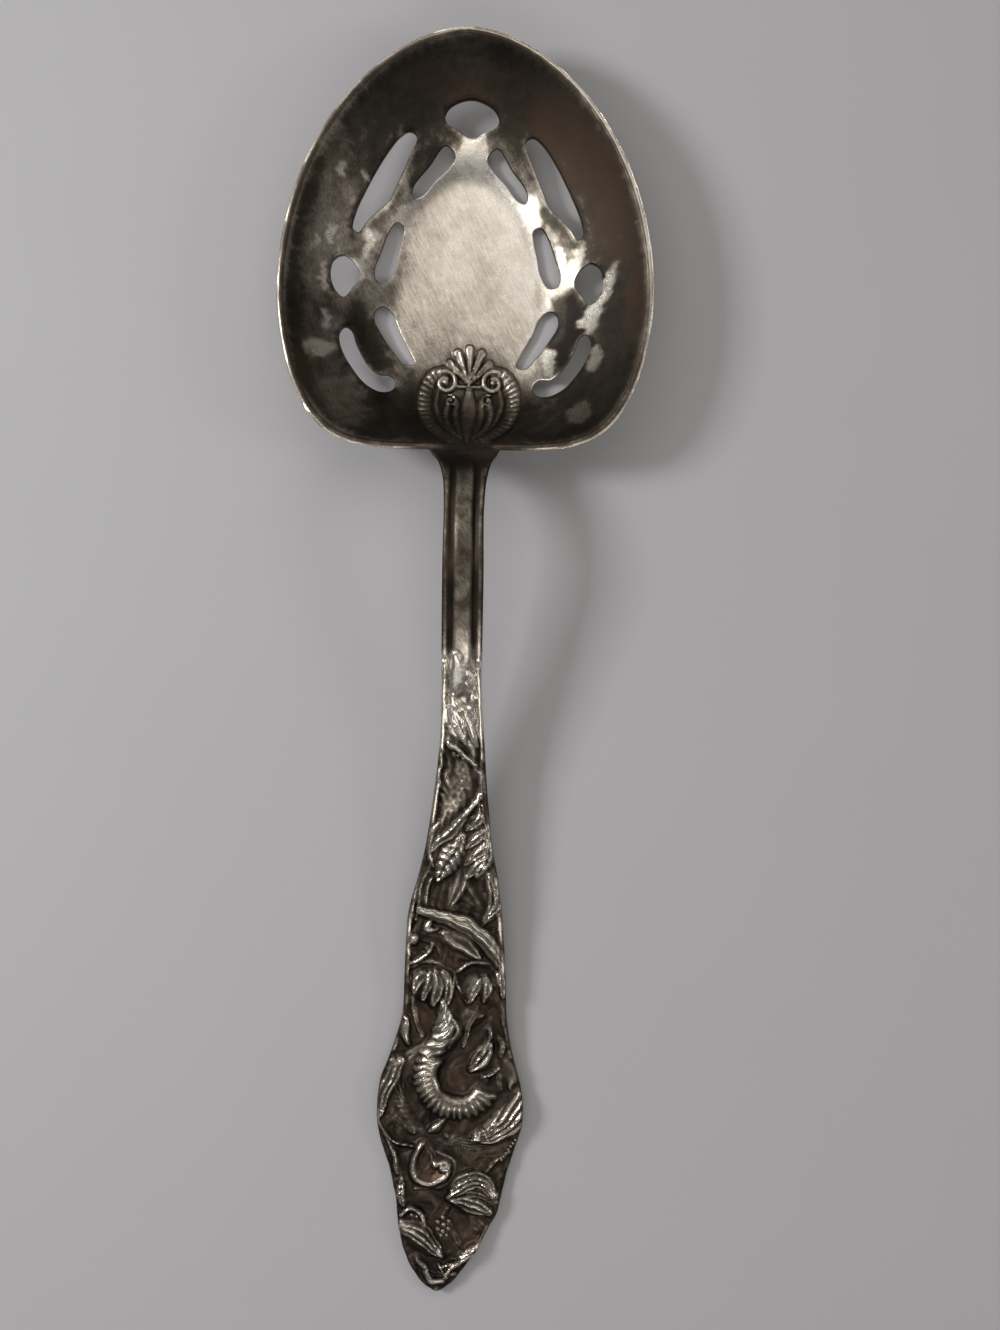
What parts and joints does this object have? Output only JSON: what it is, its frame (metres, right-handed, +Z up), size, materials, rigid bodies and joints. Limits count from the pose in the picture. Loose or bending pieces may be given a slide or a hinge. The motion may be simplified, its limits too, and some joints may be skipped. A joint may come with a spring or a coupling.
{
  "type": "pierced serving spoon",
  "caption": "Serving spoon with a deep egg-shaped bowl pierced by drain slots, an arched neck and a leaf-and-flower relief handle.",
  "frame": {"origin": "on the table, under the middle of the spoon's length and width", "axes": "+Y from the handle's tip to the bowl's tip, +Z up out of the bowl, +X to the right when seen from above"},
  "size_m": [0.0668, 0.229, 0.0218],
  "materials": {
    "silver_plate": "worn silver plate, tarnished brown-black in the bowl and in the hollows of the carving, bright on the high spots"
  },
  "bodies": {
    "root": {"spoon": "silver_plate"}
  },
  "joints": []
}
